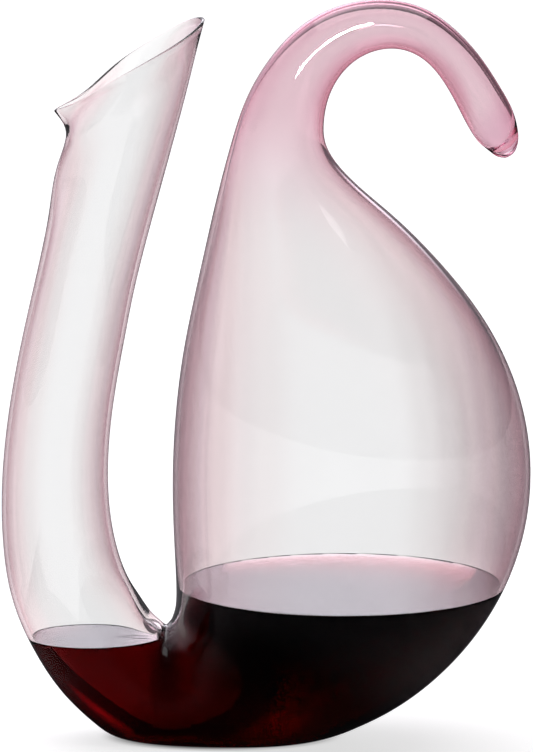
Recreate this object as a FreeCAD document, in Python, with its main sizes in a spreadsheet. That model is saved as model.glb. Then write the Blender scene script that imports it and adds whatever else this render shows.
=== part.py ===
import FreeCAD, Part
import Sketcher
import math
import os

# Free-blown glass decanter with wine in it.  All lengths are in millimetres.
# The vessel is one bent, closed-ended tube: an open neck on the -X side, a heel that turns
# under, a wide bowl on the +X side, and a tail that hooks over and ends in a solid bead.
# +Z is up and the table is z = 0.  The tube's centre line lies in the XZ plane.

doc = FreeCAD.newDocument("Decanter")
sheet = doc.addObject("Spreadsheet::Sheet", "Dimensions")
next_row = [1]


def dimension(alias, value):
    """Write one driving dimension into the sheet under its alias."""
    row = next_row[0]
    sheet.set("A%d" % row, alias)
    sheet.set("B%d" % row, str(value))
    sheet.setAlias("B%d" % row, alias)
    next_row[0] = row + 1


# Each station is a cross-section of the tube, from the mouth to the tip of the tail.
# "in" is the side of the section that faces the gap between the neck and the bowl, and
# "out" is the side across from it.  Columns: in x, in z, out x, out z, half the size
# along Y, wall on the in side, wall on the out side.
COLUMNS = ("in_x", "in_z", "out_x", "out_z", "depth", "wall_in", "wall_out")
STATIONS = (
    ("lip_root", -31.1, 321.2, -91.4, 283.7, 26.0, 2.4, 2.4),
    ("flare", -36.1, 300.8, -93.7, 270.6, 24.9, 2.2, 2.2),
    ("neck_top", -54.2, 233.1, -99.2, 243.2, 23.0, 1.9, 1.9),
    ("neck_upper", -64.0, 189.3, -108.8, 198.4, 22.9, 1.8, 1.8),
    ("neck_lower", -70.4, 151.5, -117.0, 156.5, 23.4, 1.8, 1.8),
    ("neck_foot", -69.5, 93.2, -120.4, 88.6, 25.4, 1.8, 1.8),
    ("heel_top", -64.0, 75.8, -115.6, 61.8, 26.3, 2.1, 1.8),
    ("heel_side", -58.5, 66.4, -105.5, 38.7, 26.7, 2.7, 1.9),
    ("heel_low", -53.0, 58.3, -92.0, 19.0, 26.8, 3.7, 2.1),
    ("heel_corner", -48.9, 54.3, -74.5, 2.8, 27.0, 5.5, 2.3),
    ("base_start", -46.2, 52.0, -50.7, -11.5, 28.3, 7.8, 2.7),
    ("base_left", -44.8, 52.9, -21.0, -15.2, 32.0, 7.8, 3.7),
    ("base_right", -43.6, 54.4, 7.8, -10.5, 37.0, 6.4, 3.7),
    ("base_end", -42.7, 56.5, 31.5, 0.1, 42.5, 5.0, 2.7),
    ("bowl_floor", -41.8, 59.6, 53.0, 10.3, 48.0, 3.7, 2.3),
    ("bowl_low", -41.5, 78.6, 103.3, 58.9, 67.2, 2.1, 2.1),
    ("bowl_widest", -42.7, 125.0, 120.9, 130.4, 74.0, 2.0, 2.0),
    ("bowl_high", -38.2, 177.2, 101.0, 192.3, 65.4, 2.0, 2.0),
    ("bowl_upper", -33.4, 202.4, 80.5, 219.6, 54.0, 2.1, 2.1),
    ("bowl_top", -27.4, 229.9, 57.0, 243.4, 40.6, 2.3, 2.3),
    ("shoulder_low", -21.7, 254.6, 35.3, 263.4, 28.3, 2.7, 2.7),
    ("shoulder_top", -16.5, 274.5, 27.3, 276.0, 21.9, 3.2, 3.2),
    ("tail_root", -10.5, 293.5, 26.3, 286.2, 18.7, 3.4, 3.4),
    ("tail_rise", -2.3, 309.8, 28.3, 297.2, 16.5, 3.4, 3.4),
    ("tail_bend", 27.4, 337.7, 41.6, 315.7, 13.1, 3.4, 3.4),
    ("tail_crest", 71.7, 338.9, 63.1, 319.7, 10.5, 3.4, 3.4),
    ("tail_turn", 88.2, 327.0, 73.1, 314.2, 9.9, 3.4, 3.4),
    ("tail_drop", 106.9, 301.9, 87.5, 293.0, 10.7, 3.4, 3.4),
    ("tail_end", 112.4, 291.3, 92.3, 283.8, 10.6, 3.4, 3.4),
)
# The clear end of the tail, beyond the hollow: these sections close it to a round tip.
BEAD_STATIONS = (
    ("bead_side", 114.7, 281.9, 97.2, 277.0, 9.3),
    ("bead_low", 114.2, 275.2, 102.6, 272.4, 6.3),
    ("bead_foot", 112.2, 271.8, 105.6, 270.6, 3.6),
    ("bead_tip", 109.8, 270.3, 108.0, 270.1, 1.0),
)
# Half of the mouth's outline in the plane of the rim: distance from the pouring lip, and
# half width.  It is a circle with a narrow pouring beak drawn out of one side.
MOUTH_OUTLINE = (
    (80.3, 0.0), (79.5, 8.2), (77.2, 15.1), (73.1, 21.5), (66.7, 26.0), (57.6, 27.9), (47.5, 27.2),
    (38.4, 25.2), (30.2, 20.8), (22.4, 14.6), (14.6, 8.9), (6.4, 5.6), (0.0, 0.0),
)
AROUND = 2 * (len(MOUTH_OUTLINE) - 1)  # points around every section

for station in STATIONS:
    for column, value in zip(COLUMNS, station[1:]):
        dimension("%s_%s" % (station[0], column), value)
for station in BEAD_STATIONS:
    for column, value in zip(COLUMNS[:5], station[1:]):
        dimension("%s_%s" % (station[0], column), value)
for index, (along, half) in enumerate(MOUTH_OUTLINE):
    dimension("mouth_along_%d" % index, along)
    dimension("mouth_half_%d" % index, half)

dimension("mouth_lip_x", -96.9)
dimension("mouth_lip_z", 292.4)
dimension("mouth_angle", 30.8)  # degrees, rise of the rim's plane from the lip to the back
dimension("mouth_wall", 2.4)
dimension("rim_radius", 1.15)
dimension("mouth_overrun", 6.0)  # how far the hollow is carried past the rim before cutting
dimension("layer_share", 0.67)  # where the coloured layer starts, as a share of the wall
dimension("hollow_end_layer", 9.5)  # from tail_end to the end of the coloured layer
dimension("hollow_end_cavity", 8.0)  # from tail_end to the end of the hollow
dimension("base_glass", 3.6)  # glass under the hollow
dimension("base_clear", 2.4)  # clear part of that glass
dimension("base_edge_radius", 4.0)
dimension("table_level", 0.0)
dimension("table_depth", 80.0)  # height of the block that flattens the base
dimension("reach", 420.0)  # size of the blocks that divide the vessel
dimension("neck_cut_x", -43.4)  # face between the heel and the bowl
dimension("neck_cut_low_z", -10.0)
dimension("notch_z", 54.1)
dimension("gap_low_x", -57.6)
dimension("gap_low_z", 120.2)
dimension("gap_mid_x", -47.1)
dimension("gap_mid_z", 204.1)
dimension("gap_high_x", -22.9)
dimension("gap_high_z", 297.3)
dimension("neck_far_x", -150.0)
dimension("neck_far_z", 360.0)
dimension("tail_left_x", -18.7)
dimension("tail_left_z", 297.3)
dimension("tail_right_x", 27.4)
dimension("tail_right_z", 282.9)
dimension("hook_under_x", 36.1)
dimension("hook_under_z", 266.0)
dimension("tail_far_x", 135.0)
dimension("tail_far_z", 360.0)
dimension("bead_cut_x", 106.0)
dimension("bead_cut_z", 277.9)
dimension("bead_cut_angle", 21.5)  # degrees, slope of the face between the tail and its bead
dimension("wine_neck_level", 46.8)
dimension("wine_bowl_level", 71.3)
dimension("wine_step_x", -43.9)
doc.recompute()


def value(alias):
    """A dimension, read back from the sheet."""
    return float(getattr(sheet, alias))


def vector(x, y, z):
    return FreeCAD.Vector(x, y, z)


def ellipse_points(centre_x, centre_z, axis_x, axis_z, half_width, half_depth):
    """Points around an ellipse whose first point is on its in side."""
    points = []
    for index in range(AROUND):
        turn = 2 * math.pi * index / AROUND
        across = half_width * math.cos(turn)
        along_y = half_depth * math.sin(turn)
        points.append(vector(centre_x + axis_x * across, along_y, centre_z + axis_z * across))
    return points


def station_frame(name):
    """Centre, unit axis from out to in, and half width of a station's outer section."""
    in_x, in_z = value(name + "_in_x"), value(name + "_in_z")
    out_x, out_z = value(name + "_out_x"), value(name + "_out_z")
    width = math.hypot(in_x - out_x, in_z - out_z)
    axis_x, axis_z = (in_x - out_x) / width, (in_z - out_z) / width
    return (in_x + out_x) / 2, (in_z + out_z) / 2, axis_x, axis_z, width / 2


def station_points(name, share):
    """A station's section, taken in from the outside by a share of the wall."""
    centre_x, centre_z, axis_x, axis_z, half_width = station_frame(name)
    wall_in, wall_out = share * value(name + "_wall_in"), share * value(name + "_wall_out")
    shift = (wall_out - wall_in) / 2
    half_width -= (wall_in + wall_out) / 2
    half_depth = value(name + "_depth") - wall_out
    return ellipse_points(
        centre_x + axis_x * shift, centre_z + axis_z * shift, axis_x, axis_z, half_width, half_depth
    )


def mouth_points(inset, lift):
    """The mouth's outline, taken in by inset and lifted off the rim's plane by lift."""
    half = [
        (value("mouth_along_%d" % i), value("mouth_half_%d" % i)) for i in range(len(MOUTH_OUTLINE))
    ]
    outline = half + [(along, -wide) for along, wide in half[-2:0:-1]]
    angle = math.radians(value("mouth_angle"))
    up_x, up_z = -math.sin(angle), math.cos(angle)
    points = []
    for i in range(AROUND):
        before, after = outline[i - 1], outline[(i + 1) % AROUND]
        step_along, step_wide = after[0] - before[0], after[1] - before[1]
        length = math.hypot(step_along, step_wide)
        along = outline[i][0] - step_wide / length * inset
        wide = outline[i][1] + step_along / length * inset
        x = value("mouth_lip_x") + along * math.cos(angle) + up_x * lift
        z = value("mouth_lip_z") + along * math.sin(angle) + up_z * lift
        points.append(vector(x, wide, z))
    return points


def dome_sections(name, share, length):
    """Sections that close the hollow with a round end beyond a station."""
    centre_x, centre_z, axis_x, axis_z, half_width = station_frame(name)
    half_width -= share * value(name + "_wall_in")
    half_depth = value(name + "_depth") - share * value(name + "_wall_out")
    ahead_x, ahead_z = -axis_z, axis_x
    if ahead_z > 0:
        ahead_x, ahead_z = -ahead_x, -ahead_z
    sections = []
    for degrees in (30, 55, 75, 87):
        size, travel = math.cos(math.radians(degrees)), length * math.sin(math.radians(degrees))
        sections.append(ellipse_points(
            centre_x + ahead_x * travel, centre_z + ahead_z * travel,
            axis_x, axis_z, half_width * size, half_depth * size,
        ))
    return sections


def closed_curve(points):
    """Smooth closed curve through the points of one section."""
    curve = Part.BSplineCurve()
    spread = [index / AROUND for index in range(AROUND + 1)]
    curve.interpolate(Points=points, PeriodicFlag=True, Parameters=spread)
    return curve


def section_spacing(sections):
    """Parameter of each section along the tube, from how far its centre and out side move."""
    spacing = [0.0]
    for before, after in zip(sections, sections[1:]):
        out_before, out_after = before[AROUND // 2], after[AROUND // 2]
        centre_before, centre_after = (before[0] + out_before) / 2, (after[0] + out_after) / 2
        step = (centre_after.sub(centre_before).Length + out_after.sub(out_before).Length) / 2
        spacing.append(spacing[-1] + step)
    return spacing


def skin_surface(sections):
    """One smooth surface through every point of every section, closed around the tube."""
    spacing = section_spacing(sections)
    lengthwise = []
    for index in range(AROUND):
        curve = Part.BSplineCurve()
        curve.interpolate(Points=[points[index] for points in sections], Parameters=spacing)
        lengthwise.append(curve)
    rings = [
        closed_curve([curve.getPole(pole) for curve in lengthwise])
        for pole in range(1, lengthwise[0].NbPoles + 1)
    ]
    poles = [[ring.getPole(pole) for ring in rings] for pole in range(1, rings[0].NbPoles + 1)]
    surface = Part.BSplineSurface()
    surface.buildFromPolesMultsKnots(
        poles,
        rings[0].getMultiplicities(), lengthwise[0].getMultiplicities(),
        rings[0].getKnots(), lengthwise[0].getKnots(),
        True, False, rings[0].Degree, lengthwise[0].Degree,
    )
    return surface


def skinned_solid(sections):
    """Solid bounded by one smooth surface through all the sections, and its two flat ends."""
    rims = [closed_curve(points).toShape() for points in (sections[0], sections[-1])]
    ends = [Part.Face(Part.Wire([rim])) for rim in rims]
    shell = Part.makeShell([skin_surface(sections).toShape()] + ends)
    shell.sewShape()
    solid = Part.makeSolid(shell)
    if solid.Volume < 0:
        solid.reverse()
    return solid


def shape_feature(name, shape):
    """Document object for a shape that no parametric feature can describe."""
    feature = doc.addObject("Part::Feature", name)
    feature.Shape = shape
    feature.Placement = FreeCAD.Placement()
    return feature


def outer_sections():
    sections = [mouth_points(0.0, 0.0)]
    sections += [station_points(station[0], 0.0) for station in STATIONS]
    for station in BEAD_STATIONS:
        centre_x, centre_z, axis_x, axis_z, half_width = station_frame(station[0])
        depth = value(station[0] + "_depth")
        sections.append(ellipse_points(centre_x, centre_z, axis_x, axis_z, half_width, depth))
    return sections


def hollow_sections(share, end_length):
    inset = share * value("mouth_wall")
    sections = [mouth_points(inset, value("mouth_overrun")), mouth_points(inset, 0.0)]
    sections += [station_points(station[0], share) for station in STATIONS]
    return sections + dome_sections(STATIONS[-1][0], share, end_length)


share = value("layer_share")
outer_skin = shape_feature("outer_skin", skinned_solid(outer_sections()))
layer_skin = shape_feature(
    "layer_skin", skinned_solid(hollow_sections(share, value("hollow_end_layer")))
)
cavity_skin = shape_feature(
    "cavity_skin", skinned_solid(hollow_sections(1.0, value("hollow_end_cavity")))
)


def sheet_expression(text):
    """Replace each alias in braces with a reference to the sheet."""
    return text.replace("{", "Dimensions.").replace("}", "")


def block_below(name, top):
    """Block that reaches from far below the table up to a height."""
    block = doc.addObject("Part::Box", name)
    block.setExpression("Length", sheet_expression("{reach}"))
    block.setExpression("Width", sheet_expression("{reach}"))
    block.setExpression("Height", sheet_expression("{table_depth}"))
    block.setExpression(".Placement.Base.x", sheet_expression("-{reach} / 2"))
    block.setExpression(".Placement.Base.y", sheet_expression("-{reach} / 2"))
    block.setExpression(".Placement.Base.z", sheet_expression(top + " - {table_depth}"))
    return block


def prism(name, corners):
    """Block through the whole depth of the vessel; each corner is a pair of expressions."""
    sketch = doc.addObject("Sketcher::SketchObject", name + "_outline")
    sketch.Placement = FreeCAD.Placement(
        vector(0, 0, 0), FreeCAD.Rotation(vector(1, 0, 0), 90)
    )
    spots = [corner_value(corner) for corner in corners]
    count = len(spots)
    for i in range(count):
        start, end = spots[i], spots[(i + 1) % count]
        sketch.addGeometry(Part.LineSegment(vector(*start, 0), vector(*end, 0)), False)
    for i in range(count):
        sketch.addConstraint(Sketcher.Constraint("Coincident", i, 2, (i + 1) % count, 1))
    for i in range(count):
        for kind, position, expression in zip(
            ("DistanceX", "DistanceY"), spots[i], corners[i]
        ):
            number = sketch.addConstraint(Sketcher.Constraint(kind, -1, 1, i, 1, position))
            sketch.setExpression("Constraints[%d]" % number, sheet_expression(expression))
    solid = doc.addObject("Part::Extrusion", name)
    solid.Base = sketch
    solid.DirMode = "Normal"
    solid.Solid = True
    solid.Symmetric = True
    solid.setExpression("LengthFwd", sheet_expression("{reach}"))
    sketch.Visibility = False
    return solid


def corner_value(corner):
    """Numbers for a corner given as two aliases in braces."""
    return tuple(value(text.strip("{}")) for text in corner)


def combine(kind, name, base, tool):
    """Boolean of two objects."""
    result = doc.addObject("Part::" + kind, name)
    result.Base = base
    result.Tool = tool
    return result


def cut(name, base, tool):
    return combine("Cut", name, base, tool)


def common(name, base, tool):
    return combine("Common", name, base, tool)


def tilted_block(name, x, z, angle):
    """Block whose upper face passes through a point and rises towards +X by an angle."""
    block = doc.addObject("Part::Box", name)
    for side in ("Length", "Width", "Height"):
        block.setExpression(side, sheet_expression("{reach}"))
    turn = FreeCAD.Rotation(vector(0, 1, 0), -value(angle))
    corner = turn.multVec(vector(-value("reach") / 2, -value("reach") / 2, -value("reach")))
    block.Placement = FreeCAD.Placement(corner + vector(value(x), 0, value(z)), turn)
    return block


def rounded_base(name, base):
    """Round the edge where the base meets the table."""
    doc.recompute()
    rounded = doc.addObject("Part::Fillet", name)
    rounded.Base = base
    radius = value("base_edge_radius")
    rounded.Edges = [
        (number, radius, radius)
        for number, edge in enumerate(base.Shape.Edges, start=1)
        if edge.BoundBox.ZMax < value("table_level") + 0.01
    ]
    return rounded


def rim_tube():
    """Round bar that follows the middle of the wall around the mouth."""
    path = closed_curve(mouth_points(value("mouth_wall") / 2, 0.0))
    start, heading = path.value(path.FirstParameter), path.tangent(path.FirstParameter)[0]
    section = Part.Wire([Part.makeCircle(value("rim_radius"), start, heading)])
    return Part.Wire([path.toShape()]).makePipeShell([section], True, False)


# Flatten the base of the outside, the coloured layer and the hollow.
outer_cut = cut("outer_cut", outer_skin, block_below("table_block", "{table_level}"))
outer_flat = rounded_base("outer_flat", outer_cut)
layer_flat = cut("layer_flat", layer_skin, block_below("clear_base_block", "{base_clear}"))
cavity_flat = cut("cavity_flat", cavity_skin, block_below("glass_base_block", "{base_glass}"))

# The clear glass around the coloured layer, the coloured layer itself, and the blocks that
# divide both into neck, bowl and tail.
rim_block = tilted_block("rim_block", "mouth_lip_x", "mouth_lip_z", "mouth_angle")
clear_glass = cut("clear_glass", outer_flat, layer_flat)
coloured_glass = cut("coloured_glass", layer_flat, cavity_flat)
neck_block = prism("neck_block", (
    ("{neck_cut_x}", "{neck_cut_low_z}"),
    ("{neck_cut_x}", "{notch_z}"),
    ("{gap_low_x}", "{gap_low_z}"),
    ("{gap_mid_x}", "{gap_mid_z}"),
    ("{gap_high_x}", "{gap_high_z}"),
    ("{gap_high_x}", "{neck_far_z}"),
    ("{neck_far_x}", "{neck_far_z}"),
    ("{neck_far_x}", "{neck_cut_low_z}"),
))
tail_block = prism("tail_block", (
    ("{tail_left_x}", "{tail_left_z}"),
    ("{tail_right_x}", "{tail_right_z}"),
    ("{hook_under_x}", "{hook_under_z}"),
    ("{tail_far_x}", "{hook_under_z}"),
    ("{tail_far_x}", "{tail_far_z}"),
    ("{tail_left_x}", "{tail_far_z}"),
))
bead_block = tilted_block("bead_block", "bead_cut_x", "bead_cut_z", "bead_cut_angle")
wine_block = prism("wine_block", (
    ("{neck_far_x}", "{neck_cut_low_z}"),
    ("{neck_far_x}", "{wine_neck_level}"),
    ("{wine_step_x}", "{wine_neck_level}"),
    ("{wine_step_x}", "{wine_bowl_level}"),
    ("{tail_far_x}", "{wine_bowl_level}"),
    ("{tail_far_x}", "{neck_cut_low_z}"),
))

# The sub-parts.
neck_coloured = common("neck_coloured", coloured_glass, neck_block)
bowl_and_tail_clear = cut("bowl_and_tail_clear", clear_glass, neck_block)
bowl_and_tail_coloured = cut("bowl_and_tail_coloured", coloured_glass, neck_block)
tail_clear = common("tail_clear", bowl_and_tail_clear, tail_block)
subparts = {
    "mouth_rim": cut("mouth_rim", shape_feature("rim_tube", rim_tube()), rim_block),
    "neck_casing": common("neck_casing", clear_glass, neck_block),
    "neck_pink_layer": common("neck_pink_layer", neck_coloured, rim_block),
    "bowl_casing": cut("bowl_casing", bowl_and_tail_clear, tail_block),
    "bowl_pink_layer": cut("bowl_pink_layer", bowl_and_tail_coloured, tail_block),
    "tail_casing": cut("tail_casing", tail_clear, bead_block),
    "tail_pink_layer": common("tail_pink_layer", bowl_and_tail_coloured, tail_block),
    "tail_tip_bead": common("tail_tip_bead", tail_clear, bead_block),
    "wine": common("wine", cavity_flat, wine_block),
}
doc.recompute()

for item in doc.Objects:
    if "Invalid" in item.State or "Error" in item.State:
        raise RuntimeError("%s did not compute: %s" % (item.Name, item.State))
os.makedirs("parts", exist_ok=True)
for node, item in subparts.items():
    item.Label = node
    if item.Shape.isNull() or not item.Shape.isValid():
        raise RuntimeError("%s has no valid shape" % node)
    item.Shape.exportStep("parts/%s.step" % node)
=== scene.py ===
import math

import bmesh
import bpy
import numpy as np
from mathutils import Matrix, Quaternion, Vector


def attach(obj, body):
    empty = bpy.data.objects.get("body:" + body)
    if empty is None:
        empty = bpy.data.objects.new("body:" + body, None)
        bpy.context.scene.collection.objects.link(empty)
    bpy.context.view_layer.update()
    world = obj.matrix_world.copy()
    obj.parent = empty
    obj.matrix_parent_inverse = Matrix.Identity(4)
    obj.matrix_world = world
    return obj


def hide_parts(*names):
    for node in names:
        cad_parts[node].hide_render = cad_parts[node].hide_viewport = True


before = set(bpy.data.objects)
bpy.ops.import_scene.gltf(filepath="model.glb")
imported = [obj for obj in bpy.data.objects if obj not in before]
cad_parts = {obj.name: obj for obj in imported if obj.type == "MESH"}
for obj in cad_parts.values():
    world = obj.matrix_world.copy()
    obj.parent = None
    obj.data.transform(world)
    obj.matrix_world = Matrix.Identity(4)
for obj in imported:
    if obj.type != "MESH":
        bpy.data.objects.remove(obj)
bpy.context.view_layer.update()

MM = 0.001

# ---------------------------------------------------------------- the decanter's shape
# Cross-sections of the blown tube, from the mouth to the end of the tail, in millimetres.
# "in" is the side that faces the gap between neck and bowl, "out" the side across from it.
# Columns: in x, in z, out x, out z, half the size along Y, wall on the in side, wall on
# the out side.  The outlines are the CAD's; the walls of the lip, the notch, the base and
# the tail are drawn thinner, because thick clear glass hides the coloured layer behind it.
TUBE_SECTIONS = (
    (-31.1, 321.2, -91.4, 283.7, 26.0, 1.7, 1.7),  # root of the lip
    (-36.1, 300.8, -93.7, 270.6, 24.9, 1.8, 1.8),
    (-54.2, 233.1, -99.2, 243.2, 23.0, 1.9, 1.9),  # neck
    (-64.0, 189.3, -108.8, 198.4, 22.9, 1.8, 1.8),
    (-70.4, 151.5, -117.0, 156.5, 23.4, 1.8, 1.8),
    (-69.5, 93.2, -120.4, 88.6, 25.4, 1.8, 1.8),
    (-64.0, 75.8, -115.6, 61.8, 26.3, 2.1, 1.8),  # heel
    (-58.5, 66.4, -105.5, 38.7, 26.7, 2.7, 1.9),
    (-53.0, 58.3, -92.0, 19.0, 26.8, 3.7, 2.1),
    (-48.9, 54.3, -74.5, 2.8, 27.0, 4.0, 2.3),
    (-46.2, 52.0, -50.7, -11.5, 28.3, 4.6, 2.7),  # under the notch
    (-44.8, 52.9, -21.0, -15.2, 32.0, 4.6, 3.7),
    (-43.6, 54.4, 7.8, -10.5, 37.0, 4.2, 3.7),
    (-42.7, 56.5, 31.5, 0.1, 42.5, 3.7, 2.7),
    (-41.8, 59.6, 53.0, 10.3, 48.0, 3.2, 2.3),  # bowl
    (-41.5, 78.6, 103.3, 58.9, 67.2, 2.1, 2.1),
    (-42.7, 125.0, 120.9, 130.4, 74.0, 2.0, 2.0),
    (-38.2, 177.2, 101.0, 192.3, 65.4, 2.0, 2.0),
    (-33.4, 202.4, 80.5, 219.6, 54.0, 2.1, 2.1),
    (-27.4, 229.9, 57.0, 243.4, 40.6, 2.3, 2.3),
    (-21.7, 254.6, 35.3, 263.4, 28.3, 2.1, 2.1),  # shoulder
    (-16.5, 274.5, 27.3, 276.0, 21.9, 1.9, 1.9),
    (-10.5, 293.5, 26.3, 286.2, 18.7, 1.7, 1.7),  # tail
    (-2.3, 309.8, 28.3, 297.2, 16.5, 1.6, 1.6),
    (27.4, 337.7, 41.6, 315.7, 13.1, 1.5, 1.5),
    (71.7, 338.9, 63.1, 319.7, 10.5, 1.5, 1.5),
    (88.2, 327.0, 73.1, 314.2, 9.9, 1.5, 1.5),
    (106.9, 301.9, 87.5, 293.0, 10.7, 1.6, 1.6),
    (112.4, 291.3, 92.3, 283.8, 10.6, 1.6, 1.6),
)
# The solid end of the tail, past the hollow.
BEAD_SECTIONS = (
    (114.7, 281.9, 97.2, 277.0, 9.3, 0.0, 0.0),
    (114.2, 275.2, 102.6, 272.4, 6.3, 0.0, 0.0),
    (112.2, 271.8, 105.6, 270.6, 3.6, 0.0, 0.0),
    (109.8, 270.3, 108.0, 270.1, 1.0, 0.0, 0.0),
)
# Half of the mouth's outline in the plane of the rim: distance from the pouring lip, and
# half width.
MOUTH_OUTLINE = (
    (80.3, 0.0), (79.5, 8.2), (77.2, 15.1), (73.1, 21.5), (66.7, 26.0), (57.6, 27.9), (47.5, 27.2),
    (38.4, 25.2), (30.2, 20.8), (22.4, 14.6), (14.6, 8.9), (6.4, 5.6), (0.0, 0.0),
)
MOUTH_LIP = (-96.9, 292.4)
MOUTH_RISE = math.radians(30.8)
MOUTH_WALL = 1.7
LIP_SAG = 2.3  # how far the rim hangs below its plane near the lip
LIP_SAG_AT = 12.0  # where it hangs most, as a distance from the lip
LIP_SAG_REACH = 16.0
BASE_GLASS = 2.6  # glass under the hollow
BASE_EDGE = 5.0  # reach of the rounding where the base meets the table
LAYER_END = 15.0  # how far the layer and the cavity in it reach past the last tube section
CAVITY_END = 13.5
LAYER_SHARE = 0.30  # the coloured layer starts this far through the wall
LAYER_INNER_SHARE = 0.97  # and ends here, just short of the cavity
LAYER_GAP = 0.1  # between the layer and the cavity at the base and at the end of the tail
LAYER_FIRST_ROW = 2  # the layer starts this many rows below the rim
END_ANGLES = (20, 40, 58, 74, 86)  # rings of the round end of the hollow
RIM_ANGLES = range(20, 180, 20)  # rows of the half-round rim
LEAST_PIECES = 4  # rows from one section to the next, at the least
POINTS_AROUND = 120
ROW_STEP = 2.5  # longest step between rows of the skin


def spline_weights(knots, places):
    """Matrix that turns values at the knots into a natural cubic spline's values at places."""
    knots, places = np.asarray(knots, float), np.asarray(places, float)
    count, gaps = len(knots), np.diff(knots)
    bend = np.zeros((count, count))
    slope = np.zeros((count, count))
    bend[0, 0] = bend[-1, -1] = 1.0
    for i in range(1, count - 1):
        bend[i, i - 1 : i + 2] = gaps[i - 1], 2 * (gaps[i - 1] + gaps[i]), gaps[i]
        slope[i, i - 1] = 6 / gaps[i - 1]
        slope[i, i + 1] = 6 / gaps[i]
        slope[i, i] = -slope[i, i - 1] - slope[i, i + 1]
    second = np.linalg.solve(bend, slope)
    left = np.clip(np.searchsorted(knots, places, side="right") - 1, 0, count - 2)
    gap = gaps[left]
    after, before = (places - knots[left]) / gap, (knots[left + 1] - places) / gap
    weights = np.zeros((len(places), count))
    rows = np.arange(len(places))
    weights[rows, left] += before
    weights[rows, left + 1] += after
    weights += ((before**3 - before) * gap**2 / 6)[:, None] * second[left]
    weights += ((after**3 - after) * gap**2 / 6)[:, None] * second[left + 1]
    return weights


def closed_outline(points):
    """POINTS_AROUND points on a smooth closed curve through the given ones."""
    count = len(points)
    knots = np.arange(3 * count + 1)
    places = count + np.arange(POINTS_AROUND) * count / POINTS_AROUND
    laps = np.concatenate([points, points, points, points[:1]])
    return spline_weights(knots, places) @ laps


def ellipse(centre, axis, half_width, half_depth):
    """Ring of points around an ellipse; the first one is on its in side."""
    turn = 2 * math.pi * np.arange(POINTS_AROUND) / POINTS_AROUND
    ring = np.zeros((POINTS_AROUND, 3))
    ring[:, 0] = centre[0] + axis[0] * half_width * np.cos(turn)
    ring[:, 1] = half_depth * np.sin(turn)
    ring[:, 2] = centre[1] + axis[1] * half_width * np.cos(turn)
    return ring


def section_axis(section):
    """Centre, unit axis from out to in, and half width of a section."""
    inner, outer = np.array(section[0:2]), np.array(section[2:4])
    width = np.linalg.norm(inner - outer)
    return (inner + outer) / 2, (inner - outer) / width, width / 2


def section_ring(section, share, extra=0.0):
    """A section's ring, taken in by a share of its wall less an extra thickness."""
    centre, axis, half_width = section_axis(section)
    wall_in, wall_out = share * section[5] - extra, share * section[6] - extra
    centre = centre + axis * (wall_out - wall_in) / 2
    return ellipse(centre, axis, half_width - (wall_in + wall_out) / 2, section[4] - wall_out)


def mouth_ring(inset, lift=0.0):
    """The mouth's outline, taken in by inset and lifted off the plane of the rim."""
    half = np.array(MOUTH_OUTLINE)
    outline = closed_outline(np.concatenate([half, half[-2:0:-1] * (1, -1)]))
    step = np.roll(outline, -1, axis=0) - np.roll(outline, 1, axis=0)
    step /= np.linalg.norm(step, axis=1)[:, None]
    along = outline[:, 0] - step[:, 1] * inset
    wide = outline[:, 1] + step[:, 0] * inset
    sag = LIP_SAG * np.exp(-(((outline[:, 0] - LIP_SAG_AT) / LIP_SAG_REACH) ** 2))
    lift = lift - sag
    ring = np.zeros((POINTS_AROUND, 3))
    ring[:, 0] = MOUTH_LIP[0] + along * math.cos(MOUTH_RISE) - lift * math.sin(MOUTH_RISE)
    ring[:, 1] = wide
    ring[:, 2] = MOUTH_LIP[1] + along * math.sin(MOUTH_RISE) + lift * math.cos(MOUTH_RISE)
    return ring


def hollow_end_rings(share, length, extra):
    """Rings that close the hollow with a round end past the last tube section."""
    section = TUBE_SECTIONS[-1]
    centre, axis, half_width = section_axis(section)
    inset = share * section[5] - extra
    ahead = np.array((axis[1], -axis[0]))
    if ahead[1] > 0:
        ahead = -ahead
    rings = []
    for degrees in END_ANGLES:
        size, travel = math.cos(math.radians(degrees)), length * math.sin(math.radians(degrees))
        centre_here = centre + ahead * travel
        depth = section[4] - inset
        rings.append(ellipse(centre_here, axis, (half_width - inset) * size, depth * size))
    return rings


def skin_rows(rings):
    """Rows of a smooth skin through the rings, about ROW_STEP apart."""
    rings = np.array(rings)
    out_side = rings[:, POINTS_AROUND // 2]
    centre = (rings[:, 0] + out_side) / 2
    centre_steps = np.linalg.norm(np.diff(centre, axis=0), axis=1)
    out_side_steps = np.linalg.norm(np.diff(out_side, axis=0), axis=1)
    knots = np.concatenate([[0.0], np.cumsum((centre_steps + out_side_steps) / 2)])
    places = [knots[:1]]
    for start, end in zip(knots, knots[1:]):
        pieces = max(LEAST_PIECES, math.ceil((end - start) / ROW_STEP))
        places.append(np.linspace(start, end, pieces + 1)[1:])
    weights = spline_weights(knots, np.concatenate(places))
    return np.einsum("pk,kaj->paj", weights, rings)


def flattened(rows, floor):
    """Rows whose points below the floor are pressed up to it, with a rounded edge."""
    rows = rows.copy()
    height = rows[..., 2] - floor
    near = np.maximum(BASE_EDGE - np.abs(height), 0.0)
    rows[..., 2] = floor + np.maximum(height, 0.0) + near**2 / (4 * BASE_EDGE)
    return rows


def outer_rows():
    """The outside of the glass, from the mouth to the tip of the tail."""
    rings = [mouth_ring(0.0)] + [section_ring(s, 0.0) for s in TUBE_SECTIONS + BEAD_SECTIONS]
    return flattened(skin_rows(rings), 0.0)


def hollow_rows(share, end, floor, extra=0.0):
    """A skin inside the wall, from the mouth to the closed end of the hollow."""
    rings = [mouth_ring(share * MOUTH_WALL - extra)]
    rings += [section_ring(s, share, extra) for s in TUBE_SECTIONS]
    rings += hollow_end_rings(share, end, extra)
    return flattened(skin_rows(rings), floor)


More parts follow.
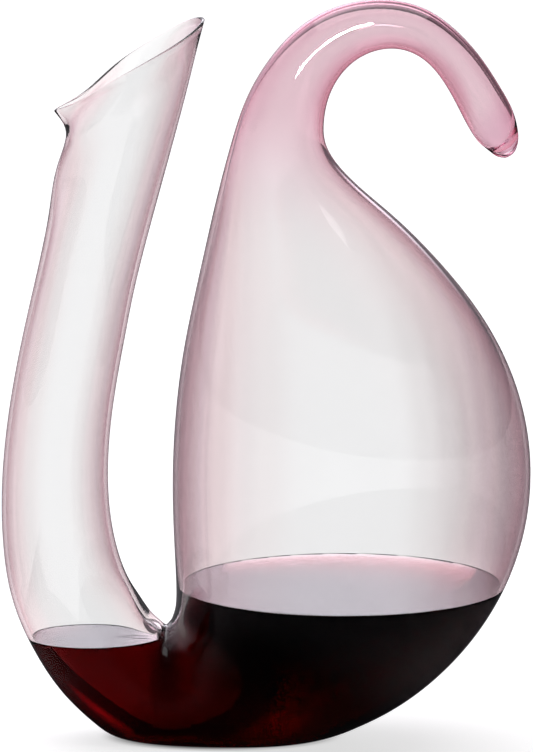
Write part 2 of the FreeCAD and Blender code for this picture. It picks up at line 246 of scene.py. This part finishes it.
def rim_rows(outer, inner):
    """Half-round rows over the edge of the wall between two rings of the mouth."""
    up = np.array((-math.sin(MOUTH_RISE), 0.0, math.cos(MOUTH_RISE)))
    middle, half = (outer + inner) / 2, (outer - inner) / 2
    height = np.linalg.norm(half, axis=1)[:, None]
    rows = []
    for degrees in RIM_ANGLES:
        turn = math.radians(degrees)
        rows.append(middle + half * math.cos(turn) + up * height * math.sin(turn))
    return rows


# ---------------------------------------------------------------- meshes

WINE_OVERLAP = 0.25  # the wine reaches this far into the glass, so that no air gap shows
WINE_NECK_LEVEL = 46.8
WINE_BOWL_LEVEL = 71.3
WINE_STEP_X = -43.9  # the wine stands at the neck's level on the -X side of this
MENISCUS_HEIGHT = 0.2  # how far the wine climbs the glass
MENISCUS_REACH = 0.4
SURFACE_STEPS = (0.15, 0.35, 0.6, 0.95, 1.5, 2.5, 4.5, 9.0)  # rings of the wine's surface


def wetted(point):
    """Whether the wine covers the glass at this point of the hollow."""
    level = WINE_NECK_LEVEL if point.x < WINE_STEP_X * MM else WINE_BOWL_LEVEL
    return point.z < (level + MENISCUS_HEIGHT) * MM


def cut_at_wine_levels(bm, material_index, open_top):
    """Cut the faces that have this material index along the wine's two levels."""
    step_x = WINE_STEP_X * MM
    for neck_side, level in ((True, WINE_NECK_LEVEL), (False, WINE_BOWL_LEVEL)):
        faces = [
            f for f in bm.faces
            if f.material_index == material_index
            and (f.calc_center_median().x < step_x) == neck_side
        ]
        geometry = dict.fromkeys(faces)  # keeps its order, so each run gives the same mesh
        for face in faces:
            geometry.update(dict.fromkeys(face.verts))
            geometry.update(dict.fromkeys(face.edges))
        plane = (0, 0, (level + MENISCUS_HEIGHT) * MM)
        bmesh.ops.bisect_plane(
            bm, geom=list(geometry), plane_co=plane, plane_no=(0, 0, 1), clear_outer=open_top
        )


def mesh_object(name, bm):
    """Object made from a bmesh, which is freed."""
    mesh = bpy.data.meshes.new(name)
    bm.to_mesh(mesh)
    bm.free()
    piece = bpy.data.objects.new(name, mesh)
    bpy.context.scene.collection.objects.link(piece)
    return piece


def skin_mesh(rows, closed_start, closed_end):
    """Quads between rows, with a fan of triangles over each closed end."""
    bm = bmesh.new()
    grid = [[bm.verts.new(Vector(point) * MM) for point in row] for row in rows]
    for row, following in zip(grid, grid[1:]):
        for i in range(POINTS_AROUND):
            j = (i + 1) % POINTS_AROUND
            bm.faces.new((row[i], row[j], following[j], following[i]))
    for closed, row in ((closed_start, grid[0]), (closed_end, grid[-1])):
        if closed:
            middle = bm.verts.new(sum((v.co for v in row), Vector()) / len(row))
            for i in range(POINTS_AROUND):
                bm.faces.new((row[i], row[(i + 1) % POINTS_AROUND], middle))
    for face in bm.faces:
        face.smooth = True
    bmesh.ops.recalc_face_normals(bm, faces=bm.faces)
    return bm


def make_vessel():
    """The clear glass: outside, fire-polished rim and hollow, as one closed skin."""
    outer = outer_rows()
    inner = hollow_rows(1.0, CAVITY_END, BASE_GLASS)
    rim = rim_rows(outer[0], inner[0])
    bm = skin_mesh(list(outer[::-1]) + rim + list(inner), True, True)
    first_inner = (len(outer) + len(rim)) * POINTS_AROUND
    bm.verts.index_update()
    for face in bm.faces:
        face.material_index = int(min(v.index for v in face.verts) >= first_inner)
    cut_at_wine_levels(bm, 1, False)
    for face in bm.faces:
        if face.material_index and not wetted(face.calc_center_median()):
            face.material_index = 0
    vessel = mesh_object("vessel_glass", bm)
    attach(vessel, "root")
    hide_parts("mouth_rim", "neck_casing", "bowl_casing", "tail_casing", "tail_tip_bead")
    return vessel


def make_rose_layer():
    """The coloured layer between the clear casing and the hollow."""
    outside = hollow_rows(LAYER_SHARE, LAYER_END, BASE_GLASS * LAYER_SHARE)
    inside = hollow_rows(LAYER_INNER_SHARE, CAVITY_END + LAYER_GAP, BASE_GLASS - LAYER_GAP)
    outside, inside = outside[LAYER_FIRST_ROW:], inside[LAYER_FIRST_ROW:]
    rows = list(outside[::-1]) + list(inside)
    layer = mesh_object("rose_layer", skin_mesh(rows, True, True))
    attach(layer, "root")
    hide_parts("neck_pink_layer", "bowl_pink_layer", "tail_pink_layer")
    return layer


def boundary_loops(bm):
    """The open edges of a mesh, as ordered loops of vertices."""
    left = dict.fromkeys(e for e in bm.edges if e.is_boundary)
    loops = []
    while left:
        edge = left.popitem()[0]
        loop = [edge.verts[0], edge.verts[1]]
        while True:
            following = [e for e in loop[-1].link_edges if e in left]
            if not following:
                break
            del left[following[0]]
            loop.append(following[0].other_vert(loop[-1]))
        if loop[0] is loop[-1]:
            loop.pop()
        loops.append(loop)
    return loops


def cover_loop(bm, loop, level):
    """Liquid surface over an open loop: a meniscus that climbs the glass, then flat."""
    middle = sum((v.co for v in loop), Vector()) / len(loop)
    middle.z = level
    edge = [v.co.copy() for v in loop]
    previous = loop
    for distance in SURFACE_STEPS:
        ring = []
        for point in edge:
            outward = point - middle
            outward.z = 0.0
            kept = max(outward.length - distance * MM, 0.0)
            spot = middle + outward.normalized() * kept
            spot.z = level + MENISCUS_HEIGHT * MM * math.exp(-distance / MENISCUS_REACH)
            ring.append(bm.verts.new(spot))
        for i in range(len(loop)):
            j = (i + 1) % len(loop)
            bm.faces.new((previous[i], previous[j], ring[j], ring[i]))
        previous = ring
    centre = bm.verts.new(middle)
    for i in range(len(loop)):
        bm.faces.new((previous[i], previous[(i + 1) % len(loop)], centre))


def make_wine():
    """The wine, which fills the hollow up to its two levels."""
    rows = hollow_rows(1.0, CAVITY_END, BASE_GLASS - WINE_OVERLAP, WINE_OVERLAP)
    bm = skin_mesh(rows, False, True)
    cut_at_wine_levels(bm, 0, True)
    for loop in boundary_loops(bm):
        in_neck = loop[0].co.x < WINE_STEP_X * MM
        cover_loop(bm, loop, (WINE_NECK_LEVEL if in_neck else WINE_BOWL_LEVEL) * MM)
    for face in bm.faces:
        face.smooth = True
    bmesh.ops.recalc_face_normals(bm, faces=bm.faces)
    wine = mesh_object("wine_pour", bm)
    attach(wine, "root")
    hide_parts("wine")
    return wine


# ---------------------------------------------------------------- materials


WHITE = (1, 1, 1, 1)
HOOK_CENTRE = (0.058, 0.290)  # middle of the gap inside the hook, in metres
NECK_MIDDLE = (0.19, -0.1225)  # X of the middle of the neck: slope with height, and X at 0
BOWL_MIDDLE = (-0.263, 0.075)
GAP_LINE = (-0.12, -0.066, -0.061)  # slant of the gap beside the neck, and its two edges

# Colour passed by each face of the glass.  The first number of a row is how much the face
# turns from the viewer, from 0 face on to 1 edge on.
# The rose where the wall turns away is the glass's own colour; the darkening towards edge on is
# painted shade for the dark outlines of the walls.
EDGE_ROSE_AND_PAINTED_SHADE = (
    (0.00, (0.890, 0.890, 0.893)),
    (0.15, (0.905, 0.885, 0.888)),
    (0.29, (0.955, 0.880, 0.890)),
    (0.38, (0.980, 0.880, 0.892)),
    (0.46, (0.995, 0.880, 0.895)),
    (0.56, (0.975, 0.790, 0.820)),
    (0.70, (0.890, 0.600, 0.660)),
    (0.90, (0.550, 0.300, 0.370)),
)
# On the tail: nearly colourless, with painted shade that darkens the clear glass almost to black
# where it is seen edge on.
TAIL_EDGE_PAINTED_SHADE = (
    (0.00, (0.99, 0.99, 0.99)),
    (0.70, (0.95, 0.92, 0.93)),
    (0.90, (0.40, 0.28, 0.32)),
    (1.00, (0.10, 0.06, 0.07)),
)
ROSE_TINT = (
    (0.00, (0.85, 0.72, 0.76)),
    (0.12, (0.84, 0.68, 0.73)),
    (0.30, (0.83, 0.57, 0.64)),
    (0.55, (0.82, 0.44, 0.52)),
    (1.00, (0.76, 0.33, 0.42)),
)
# Painted shade on the walls towards both sides of the decanter. Here the first number is the
# wall's outward direction, from 0 for the decanter's mouth side through 0.5 for its front and back
# to 1 for the tail's side.
SIDE_PAINTED_SHADE = (
    (0.000, (0.500, 0.465, 0.490)),
    (0.025, (0.600, 0.560, 0.580)),
    (0.080, (0.790, 0.750, 0.770)),
    (0.135, (0.900, 0.870, 0.875)),
    (0.200, (0.960, 0.945, 0.948)),
    (0.275, (0.985, 0.975, 0.975)),
    (0.375, (1.000, 1.000, 1.000)),
    (0.625, (1.000, 1.000, 1.000)),
    (0.705, (0.955, 0.950, 0.950)),
    (0.760, (0.900, 0.885, 0.888)),
    (0.820, (0.825, 0.800, 0.808)),
    (0.875, (0.735, 0.695, 0.710)),
    (0.935, (0.590, 0.555, 0.575)),
    (1.000, (0.560, 0.525, 0.550)),
)
CROOK_TINT = (0.93, 0.83, 0.86, 1)
# painted shade that darkens the glass towards the table
FOOT_PAINTED_SHADE = (0.40, 0.36, 0.36, 1)
TIP_TINT = (0.94, 0.84, 0.89, 1)


class Nodes:
    """Shorthand for building a material's or the world's nodes."""

    def __init__(self, tree):
        self.tree = tree
        self.tree.nodes.clear()

    def add(self, kind, **inputs):
        node = self.tree.nodes.new(kind)
        for name, value in inputs.items():
            self.set(node, name.replace("_", " "), value)
        return node

    def wire(self, socket, value):
        """Link a socket to another socket, or give it a plain value."""
        if isinstance(value, bpy.types.NodeSocket):
            self.tree.links.new(value, socket)
        else:
            socket.default_value = value

    def set(self, node, name, value):
        self.wire(node.inputs[name], value)

    def part(self, kind, output, component):
        """One component of a node's vector output."""
        split = self.tree.nodes.new("ShaderNodeSeparateXYZ")
        self.tree.links.new(self.add(kind).outputs[output], split.inputs[0])
        return split.outputs[component]

    def math(self, operation, first, second=0.0, third=0.0, clamp=False):
        node = self.tree.nodes.new("ShaderNodeMath")
        node.operation = operation
        node.use_clamp = clamp
        for socket, value in zip(node.inputs, (first, second, third)):
            self.wire(socket, value)
        return node.outputs[0]

    def hypotenuse(self, first, second):
        squares = self.math("ADD", self.math("POWER", first, 2.0), self.math("POWER", second, 2.0))
        return self.math("SQRT", squares)

    def ramp(self, factor, stops):
        node = self.tree.nodes.new("ShaderNodeValToRGB")
        node.color_ramp.interpolation = "EASE"
        elements = node.color_ramp.elements
        while len(elements) < len(stops):
            elements.new(0.5)
        for element, (position, colour) in zip(elements, stops):
            element.position = position
            element.color = (*colour, 1.0)
        self.tree.links.new(factor, node.inputs["Fac"])
        return node.outputs["Color"]

    def mix_colour(self, blend, factor, first, second):
        node = self.tree.nodes.new("ShaderNodeMix")
        node.data_type = "RGBA"
        node.blend_type = blend
        for index, value in ((0, factor), (6, first), (7, second)):
            self.wire(node.inputs[index], value)
        return node.outputs[2]

    def smooth_range(self, value, low, high):
        node = self.tree.nodes.new("ShaderNodeMapRange")
        node.interpolation_type = "SMOOTHSTEP"
        node.inputs["From Min"].default_value = low
        node.inputs["From Max"].default_value = high
        self.tree.links.new(value, node.inputs["Value"])
        return node.outputs["Result"]


def new_material(name):
    """An empty material and the shorthand for its nodes."""
    material = bpy.data.materials.new(name)
    material.use_nodes = True
    return material, Nodes(material.node_tree)


def outward_x(n):
    """X component of the wall's outward direction, the same for both faces of the wall."""
    across = n.part("ShaderNodeTexCoord", "Object", "X")
    height = n.part("ShaderNodeTexCoord", "Object", "Z")
    neck_middle = n.math("MULTIPLY_ADD", height, *NECK_MIDDLE)
    bowl_middle = n.math("MULTIPLY_ADD", height, *BOWL_MIDDLE)
    gap = n.math("SUBTRACT", bowl_middle, neck_middle)
    middle = n.math("MULTIPLY_ADD", beyond_neck(n), gap, neck_middle)
    side = n.math("SIGN", n.math("SUBTRACT", across, middle))
    slope = n.math("ABSOLUTE", n.part("ShaderNodeTexCoord", "Normal", "X"))
    return n.math("MULTIPLY", slope, side)


def distance_from(n, centre):
    """How far a point is from a line along Y through the centre, in the XZ plane."""
    across = n.math("SUBTRACT", n.part("ShaderNodeTexCoord", "Object", "X"), centre[0])
    up = n.math("SUBTRACT", n.part("ShaderNodeTexCoord", "Object", "Z"), centre[1])
    return n.hypotenuse(across, up)


def beyond_neck(n):
    """0 on the neck, 1 on the bowl and tail, split along the slanted gap between them."""
    across = n.part("ShaderNodeTexCoord", "Object", "X")
    height = n.part("ShaderNodeTexCoord", "Object", "Z")
    slant, neck_edge, bowl_edge = GAP_LINE
    return n.smooth_range(n.math("MULTIPLY_ADD", height, slant, across), neck_edge, bowl_edge)


def tail_mask(n, low, high):
    """Grows from 0 to 1 between two heights on the tail, and is 0 on the neck."""
    height = n.part("ShaderNodeTexCoord", "Object", "Z")
    return n.math("MULTIPLY", n.smooth_range(height, low, high), beyond_neck(n))


def clear_glass_colour_and_painted_shade(n):
    """Colour of the clear casing: faintly rose where the wall is seen edge on, with painted shade
    that darkens its edges, its sides above the wine and its foot.
    """
    height = n.part("ShaderNodeTexCoord", "Object", "Z")
    facing = n.add("ShaderNodeLayerWeight", Blend=0.5).outputs["Facing"]
    tail = tail_mask(n, 0.235, 0.285)
    tint = n.mix_colour("MIX", tail, n.ramp(facing, EDGE_ROSE_AND_PAINTED_SHADE), n.ramp(facing, TAIL_EDGE_PAINTED_SHADE))
    # painted shade: the walls darken towards the decanter's sides, above the wine
    side_shade = n.ramp(n.math("MULTIPLY_ADD", outward_x(n), 0.5, 0.5), SIDE_PAINTED_SHADE)
    above_wine = n.math("SUBTRACT", n.smooth_range(height, 0.05, 0.085), tail, clamp=True)
    strength = n.math("MULTIPLY_ADD", beyond_neck(n), 0.3, 0.7)  # weaker on the neck
    side_shade = n.mix_colour("MIX", n.math("MULTIPLY", above_wine, strength), WHITE, side_shade)
    tint = n.mix_colour("MULTIPLY", 1.0, tint, side_shade)
    crook = n.math("SUBTRACT", 1.0, n.smooth_range(distance_from(n, HOOK_CENTRE), 0.030, 0.038))
    tint = n.mix_colour("MULTIPLY", crook, tint, CROOK_TINT)
    # painted shade at the foot: the glass darkens towards the table
    foot = n.math("SUBTRACT", 1.0, n.smooth_range(height, 0.003, 0.018))
    return n.mix_colour("MULTIPLY", foot, tint, FOOT_PAINTED_SHADE)


def vessel_glass(name, reflection):
    """Clear casing, with mirror reflections of the given strength."""
    material, n = new_material(name)
    tint = clear_glass_colour_and_painted_shade(n)
    glass = n.add("ShaderNodeBsdfPrincipled", Base_Color=tint, Roughness=0.0, IOR=1.5)
    glass.inputs["Transmission Weight"].default_value = 1.0
    glass.inputs["Specular Tint"].default_value = (reflection, reflection, reflection, 1)
    n.add("ShaderNodeOutputMaterial", Surface=glass.outputs[0])
    return material


def rose_glass():
    """Thin rose layer in the wall: colourless in the neck and bowl, deep in the tail."""
    material, n = new_material("rose_layer_glass")
    height = n.part("ShaderNodeTexCoord", "Object", "Z")
    facing = n.add("ShaderNodeLayerWeight", Blend=0.5).outputs["Facing"]
    tail = tail_mask(n, 0.225, 0.30)
    tint = n.mix_colour("MIX", tail, WHITE, n.ramp(facing, ROSE_TINT))
    along = n.math("SUBTRACT", n.part("ShaderNodeTexCoord", "Object", "X"), height)
    tip = n.math("MULTIPLY", tail, n.smooth_range(along, -0.200, -0.175))
    tint = n.mix_colour("MULTIPLY", tip, tint, TIP_TINT)
    glass = n.add("ShaderNodeBsdfPrincipled", Base_Color=tint, Roughness=0.0, IOR=1.0)
    glass.inputs["Transmission Weight"].default_value = 1.0
    glass.inputs["Specular Tint"].default_value = (0, 0, 0, 1)
    n.add("ShaderNodeOutputMaterial", Surface=glass.outputs[0])
    return material


def wine_liquid():
    """Red wine: clear at the surface, deep red through a few centimetres, then black."""
    material, n = new_material("red_wine")
    liquid = n.add("ShaderNodeBsdfPrincipled", Roughness=0.0, IOR=1.34)
    liquid.inputs["Base Color"].default_value = WHITE
    liquid.inputs["Transmission Weight"].default_value = 1.0
    liquid.inputs["Specular Tint"].default_value = (0, 0, 0, 1)
    depth = n.add("ShaderNodeVolumeAbsorption", Density=182.0, Color=(0.66, 0.02, 0.10, 1))
    n.add("ShaderNodeOutputMaterial", Surface=liquid.outputs[0], Volume=depth.outputs[0])
    return material


# ---------------------------------------------------------------- stage

CAMERA_ELEVATION = math.radians(11.3)
CAMERA_DISTANCE = 5.0
VIEW_HEIGHT = 0.3437  # what the picture takes in at the object
VIEW_CENTRE = Vector((0.0002, 0.0, 0.1687))
SENSOR = 24.0
FOOT_CENTRE = -0.021  # the resting face, along X
FLOOR_HALF_SIZE = 6.0
FLOOR_PALE = (0.8, 0.8, 0.8, 1)
# colour of the painted shadow under the decanter
FLOOR_PAINTED_SHADOW = (0.01, 0.01, 0.01, 1)
SWEEP_LEVEL = 2.4
ROOM_LEVEL = 0.008
BOUNCES = 24  # enough for a ray through all the walls and back


def make_camera():
    """Camera at the picture's angle, far enough off for an almost parallel view."""
    data = bpy.data.cameras.new("camera")
    data.sensor_fit = "VERTICAL"
    data.sensor_height = SENSOR
    data.lens = SENSOR * CAMERA_DISTANCE / VIEW_HEIGHT
    data.clip_end = 50.0
    camera = bpy.data.objects.new("camera", data)
    bpy.context.scene.collection.objects.link(camera)
    back = Vector((0.0, -math.cos(CAMERA_ELEVATION), math.sin(CAMERA_ELEVATION)))
    camera.location = VIEW_CENTRE + back * CAMERA_DISTANCE
    camera.rotation_euler = (math.pi / 2 - CAMERA_ELEVATION, 0.0, 0.0)
    bpy.context.scene.camera = camera


def make_floor(name, height, glow, painted_shadow_size, fade):
    """Plain pale floor that also glows, but for a painted shadow under the decanter: a dark patch
    that neither glows nor is pale.

    The painted shadow is an ellipse of the given size, and the floor brightens over the fade range
    of it.
    """
    bm = bmesh.new()
    bmesh.ops.create_grid(bm, x_segments=8, y_segments=8, size=FLOOR_HALF_SIZE)
    floor = mesh_object(name, bm)
    floor.location.z = height
    floor.visible_glossy = False
    material, n = new_material(name)
    surface = n.add("ShaderNodeBsdfPrincipled", Roughness=0.9)
    surface.inputs["Emission Color"].default_value = WHITE
    across = n.math("SUBTRACT", n.part("ShaderNodeTexCoord", "Object", "X"), FOOT_CENTRE)
    across = n.math("DIVIDE", across, painted_shadow_size[0])
    depth = n.math("DIVIDE", n.part("ShaderNodeTexCoord", "Object", "Y"), painted_shadow_size[1])
    # painted shadow: inside the ellipse under the decanter the floor is dark and does not glow
    lit = n.smooth_range(n.hypotenuse(across, depth), *fade)
    n.set(surface, "Base Color", n.mix_colour("MIX", lit, FLOOR_PAINTED_SHADOW, FLOOR_PALE))
    n.set(surface, "Emission Strength", n.math("MULTIPLY", lit, glow))
    surface.inputs["Specular IOR Level"].default_value = 0.0
    n.add("ShaderNodeOutputMaterial", Surface=surface.outputs[0])
    material.cycles.emission_sampling = "NONE"
    floor.data.materials.append(material)
    return floor


def make_floors():
    """The floor the camera sees, and under it a darker one, seen only through the glass, whose
    wider painted shadow darkens what shows through the wine.
    """
    seen = make_floor("floor", -0.0003, 0.70, (0.050, 0.027), (0.75, 1.15))
    seen.visible_transmission = False
    under = make_floor("floor_through_glass", -0.0006, 0.60, (0.075, 0.075), (0.9, 1.7))
    under.visible_camera = False
    under.visible_diffuse = False
    under.visible_shadow = False


def make_world():
    """A dark studio with a bright sweep behind the decanter, above the table's far edge."""
    world = bpy.data.worlds.new("studio")
    bpy.context.scene.world = world
    world.use_nodes = True
    n = Nodes(world.node_tree)
    up = n.part("ShaderNodeTexCoord", "Generated", "Z")
    back = n.part("ShaderNodeTexCoord", "Generated", "Y")
    across = n.part("ShaderNodeTexCoord", "Generated", "X")
    band = n.math("SUBTRACT", n.smooth_range(up, 0.10, 0.17), n.smooth_range(up, 0.26, 0.40))
    sweep = n.math("MULTIPLY", band, n.smooth_range(back, 0.86, 0.96))
    left = n.math("SUBTRACT", 1.0, n.smooth_range(across, -0.3, 0.25))
    high = n.math("MULTIPLY_ADD", left, 0.70, 0.20)
    low = n.math("MULTIPLY_ADD", left, 0.11, 0.05)
    low = n.math("MULTIPLY", low, n.smooth_range(up, -0.5, -0.25))
    above = n.smooth_range(up, -0.06, 0.06)
    below = n.math("SUBTRACT", 1.0, above)
    walls = n.math("ADD", n.math("MULTIPLY", above, high), n.math("MULTIPLY", below, low))
    walls = n.math("MULTIPLY", walls, n.smooth_range(back, -0.1, 0.3))
    level = n.math("ADD", n.math("MULTIPLY", sweep, SWEEP_LEVEL), walls)
    light = n.add("ShaderNodeBackground", Strength=n.math("ADD", level, ROOM_LEVEL))
    light.inputs["Color"].default_value = (1.0, 0.95, 1.04, 1)
    n.add("ShaderNodeOutputWorld", Surface=light.outputs[0])


def softbox(name, place, target, size, power, spread=180.0, roll=0.0):
    """Rectangular lamp aimed at the target; spread and roll are in degrees."""
    data = bpy.data.lights.new(name, "AREA")
    data.shape = "RECTANGLE"
    data.size, data.size_y = size
    data.energy = power
    data.spread = math.radians(spread)
    lamp = bpy.data.objects.new(name, data)
    bpy.context.scene.collection.objects.link(lamp)
    lamp.location = place
    aim = (Vector(target) - Vector(place)).to_track_quat("-Z", "Y")
    lamp.rotation_euler = (aim @ Quaternion((0, 0, 1), math.radians(roll))).to_euler()
    lamp.visible_camera = False


def make_lights():
    """A large lamp overhead, and a small one close by that draws the streak on the hook."""
    softbox("top", (0.0, 0.5, 2.3), (0, 0.3, 0), (2.8, 2.8), 30.0)
    hook = (0.030, -0.013, 0.327)
    softbox("hook_streak", (0.024, -0.115, 0.355), hook, (0.078, 0.015), 0.032, 30.0, 28.0)


vessel = make_vessel()
vessel.data.materials.append(vessel_glass("clear_casing", 1.0))
vessel.data.materials.append(vessel_glass("clear_casing_wetted", 0.05))
layer = make_rose_layer()
layer.data.materials.append(rose_glass())
wine = make_wine()
wine.data.materials.append(wine_liquid())
make_camera()
make_floors()
make_world()
make_lights()
bpy.context.scene.view_settings.view_transform = "Standard"
bpy.context.scene.cycles.max_bounces = BOUNCES
bpy.context.scene.cycles.transmission_bounces = BOUNCES
bpy.context.scene.cycles.transparent_max_bounces = BOUNCES
